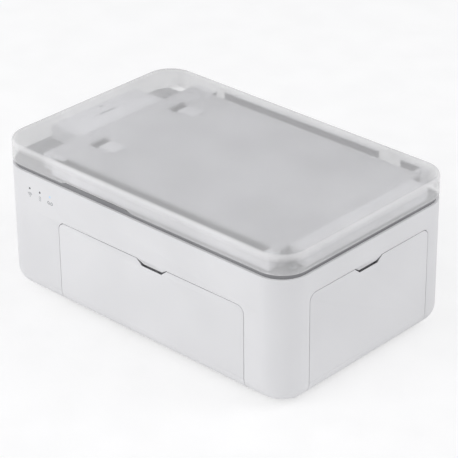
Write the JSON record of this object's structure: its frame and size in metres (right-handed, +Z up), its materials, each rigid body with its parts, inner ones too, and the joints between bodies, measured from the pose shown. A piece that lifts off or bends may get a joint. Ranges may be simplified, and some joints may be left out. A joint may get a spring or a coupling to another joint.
{
  "type": "compact photo printer",
  "caption": "Low white box printer for postcard photos with a frosted hinged lid over the stored paper cassette, a drop-down front door, a side ribbon door and a working paper and ribbon drive.",
  "frame": {"origin": "on the table, under the middle of the body", "axes": "+X along the front towards the ribbon door's side, +Y from the front to the back, +Z up"},
  "size_m": [0.1946, 0.1244, 0.0844],
  "materials": {
    "white_shell": "fine moulded texture, soft satin",
    "frosted_lid": "translucent polycarbonate, frosted outside",
    "deck_plastic": "moulded, satin",
    "cassette_white": "moulded, satin",
    "cassette_grey": "moulded, satin",
    "cartridge_grey": "moulded, satin",
    "black_plastic": "moulded, satin",
    "gear_plastic": "moulded acetal, slightly waxy",
    "foot_rubber": "matt rubber",
    "roller_rubber": "ground rubber",
    "screw_steel": "zinc plated",
    "plated_steel": "zinc-plated sheet, slightly dull",
    "polished_steel": "ground and polished",
    "motor_can": "drawn steel can",
    "bronze": "sintered bronze",
    "head_ceramic": "glazed ceramic on a dark carrier",
    "heat_sink_aluminium": "extruded, plain",
    "circuit_board": "solder mask",
    "light_pipe": "clear moulded acrylic",
    "photo_paper": "glossy coated paper",
    "ribbon_film": "thin dyed film"
  },
  "bodies": {
    "chassis": {"body_shell": "white_shell", "rubber_feet": "foot_rubber", "top_deck": "deck_plastic", "deck_screws": "screw_steel", "light_pipes": "light_pipe", "indicator_board": "circuit_board", "main_board": "circuit_board", "board_components": "black_plastic", "power_socket": "black_plastic", "wireless_module": "plated_steel", "switch_board": "circuit_board", "left_side_plate": "plated_steel", "right_side_plate": "plated_steel", "gear_plate": "plated_steel", "plate_spacers": "screw_steel", "cross_bars": "plated_steel", "chassis_screws": "screw_steel", "bushings": "bronze", "gear_studs": "screw_steel", "motor_body": "motor_can", "motor_screws": "screw_steel", "paper_guide": "plated_steel", "fan_frame": "black_plastic", "fan_screws": "screw_steel", "cassette_base": "cassette_white", "cassette_frame": "cassette_white", "cassette_cover": "cassette_grey", "pressure_plate": "cassette_grey", "paper_stack": "photo_paper", "ribbon_cartridge": "cartridge_grey", "ribbon_film": "ribbon_film"},
    "lid": {"lid_shell": "frosted_lid", "lid_hinge_pins": "screw_steel"},
    "front_door": {"front_door": "white_shell"},
    "side_door": {"side_door": "white_shell"},
    "power_button": {"power_button": "white_shell"},
    "reset_button": {"reset_button": "black_plastic"},
    "platen": {"platen_roller": "roller_rubber", "platen_shaft": "polished_steel", "platen_gear": "gear_plastic"},
    "feed": {"feed_roller": "polished_steel", "feed_gear": "gear_plastic"},
    "pinch": {"pinch_roller": "polished_steel"},
    "pickup": {"pickup_tyres": "roller_rubber", "pickup_shaft": "polished_steel", "pickup_gear": "gear_plastic"},
    "idler": {"idler_gear": "gear_plastic"},
    "ribbon_idler": {"ribbon_idler_gear": "gear_plastic"},
    "ribbon_drive": {"ribbon_drive_hub": "gear_plastic"},
    "motor_rotor": {"motor_shaft": "polished_steel", "motor_pinion": "bronze"},
    "supply_reel": {"supply_spool": "gear_plastic", "supply_roll": "ribbon_film"},
    "take_up_reel": {"take_up_spool": "gear_plastic", "take_up_roll": "ribbon_film"},
    "head": {"print_head": "head_ceramic", "head_arm": "plated_steel", "heat_sink": "heat_sink_aluminium"},
    "fan_wheel": {"fan_rotor": "black_plastic"}
  },
  "joints": [
    {"name": "lid_hinge", "type": "hinge", "parent": "chassis", "child": "lid", "pos_m": [0, 0.0596, 0.0738], "axis": [-1, 0, 0], "range_deg": [0, 90]},
    {"name": "front_door_hinge", "type": "hinge", "parent": "chassis", "child": "front_door", "pos_m": [0.0081, -0.0537, 0.0109], "axis": [1, 0, 0], "range_deg": [0, 90]},
    {"name": "side_door_hinge", "type": "hinge", "parent": "chassis", "child": "side_door", "pos_m": [0.0888, -0.0002, 0.0109], "axis": [0, 1, 0], "range_deg": [0, 90]},
    {"name": "power_button_press", "type": "slide", "parent": "chassis", "child": "power_button", "axis": [1, 0, 0], "range_m": [0, 0.001], "stiffness_N_per_m": 300, "springref_m": -0.001},
    {"name": "reset_button_press", "type": "slide", "parent": "chassis", "child": "reset_button", "axis": [0, -1, 0], "range_m": [0, 0.0005], "stiffness_N_per_m": 300, "springref_m": -0.001},
    {"name": "platen_spin", "type": "hinge", "parent": "chassis", "child": "platen", "pos_m": [0.0081, 0.003, 0.0312], "axis": [1, 0, 0], "continuous": true},
    {"name": "feed_spin", "type": "hinge", "parent": "chassis", "child": "feed", "pos_m": [0.0081, -0.013, 0.0327], "axis": [1, 0, 0], "continuous": true},
    {"name": "pinch_spin", "type": "hinge", "parent": "chassis", "child": "pinch", "pos_m": [0.0081, -0.013, 0.0386], "axis": [1, 0, 0], "continuous": true},
    {"name": "pickup_spin", "type": "hinge", "parent": "chassis", "child": "pickup", "pos_m": [0.0081, 0.0222, 0.0295], "axis": [1, 0, 0], "continuous": true},
    {"name": "idler_spin", "type": "hinge", "parent": "chassis", "child": "idler", "pos_m": [0.0081, -0.00753, 0.02316], "axis": [1, 0, 0], "continuous": true},
    {"name": "ribbon_idler_spin", "type": "hinge", "parent": "chassis", "child": "ribbon_idler", "pos_m": [0.0081, 0.01549, 0.04236], "axis": [1, 0, 0], "continuous": true},
    {"name": "ribbon_drive_spin", "type": "hinge", "parent": "chassis", "child": "ribbon_drive", "pos_m": [0.0081, 0.031, 0.0463], "axis": [1, 0, 0], "continuous": true},
    {"name": "motor_spin", "type": "hinge", "parent": "chassis", "child": "motor_rotor", "pos_m": [0.0081, -0.02241, 0.03138], "axis": [1, 0, 0], "continuous": true},
    {"name": "supply_spin", "type": "hinge", "parent": "chassis", "child": "supply_reel", "pos_m": [0.0081, -0.0305, 0.0463], "axis": [1, 0, 0], "continuous": true},
    {"name": "take_up_spin", "type": "hinge", "parent": "chassis", "child": "take_up_reel", "pos_m": [0.0081, 0.031, 0.0463], "axis": [1, 0, 0], "continuous": true},
    {"name": "head_press", "type": "hinge", "parent": "chassis", "child": "head", "pos_m": [0.0081, 0.0155, 0.052], "axis": [1, 0, 0], "range_deg": [0, 4], "stiffness_Nm_per_rad": 0.2, "springref_deg": -8.59},
    {"name": "fan_spin", "type": "hinge", "parent": "chassis", "child": "fan_wheel", "pos_m": [-0.0665, 0.057, 0.036], "axis": [0, 1, 0], "continuous": true}
  ],
  "couplings": [
    {"joint": "idler_spin", "follows": "platen_spin", "ratio": -1.65},
    {"joint": "feed_spin", "follows": "platen_spin", "ratio": 1.375},
    {"joint": "motor_spin", "follows": "platen_spin", "ratio": -2.3571},
    {"joint": "ribbon_idler_spin", "follows": "platen_spin", "ratio": -0.97059},
    {"joint": "ribbon_drive_spin", "follows": "platen_spin", "ratio": 1.1},
    {"joint": "take_up_spin", "follows": "platen_spin", "ratio": 1.1},
    {"joint": "pickup_spin", "follows": "platen_spin", "ratio": 1.375},
    {"joint": "pinch_spin", "follows": "platen_spin", "ratio": -3.4375},
    {"joint": "supply_spin", "follows": "platen_spin", "ratio": 0.78571}
  ]
}
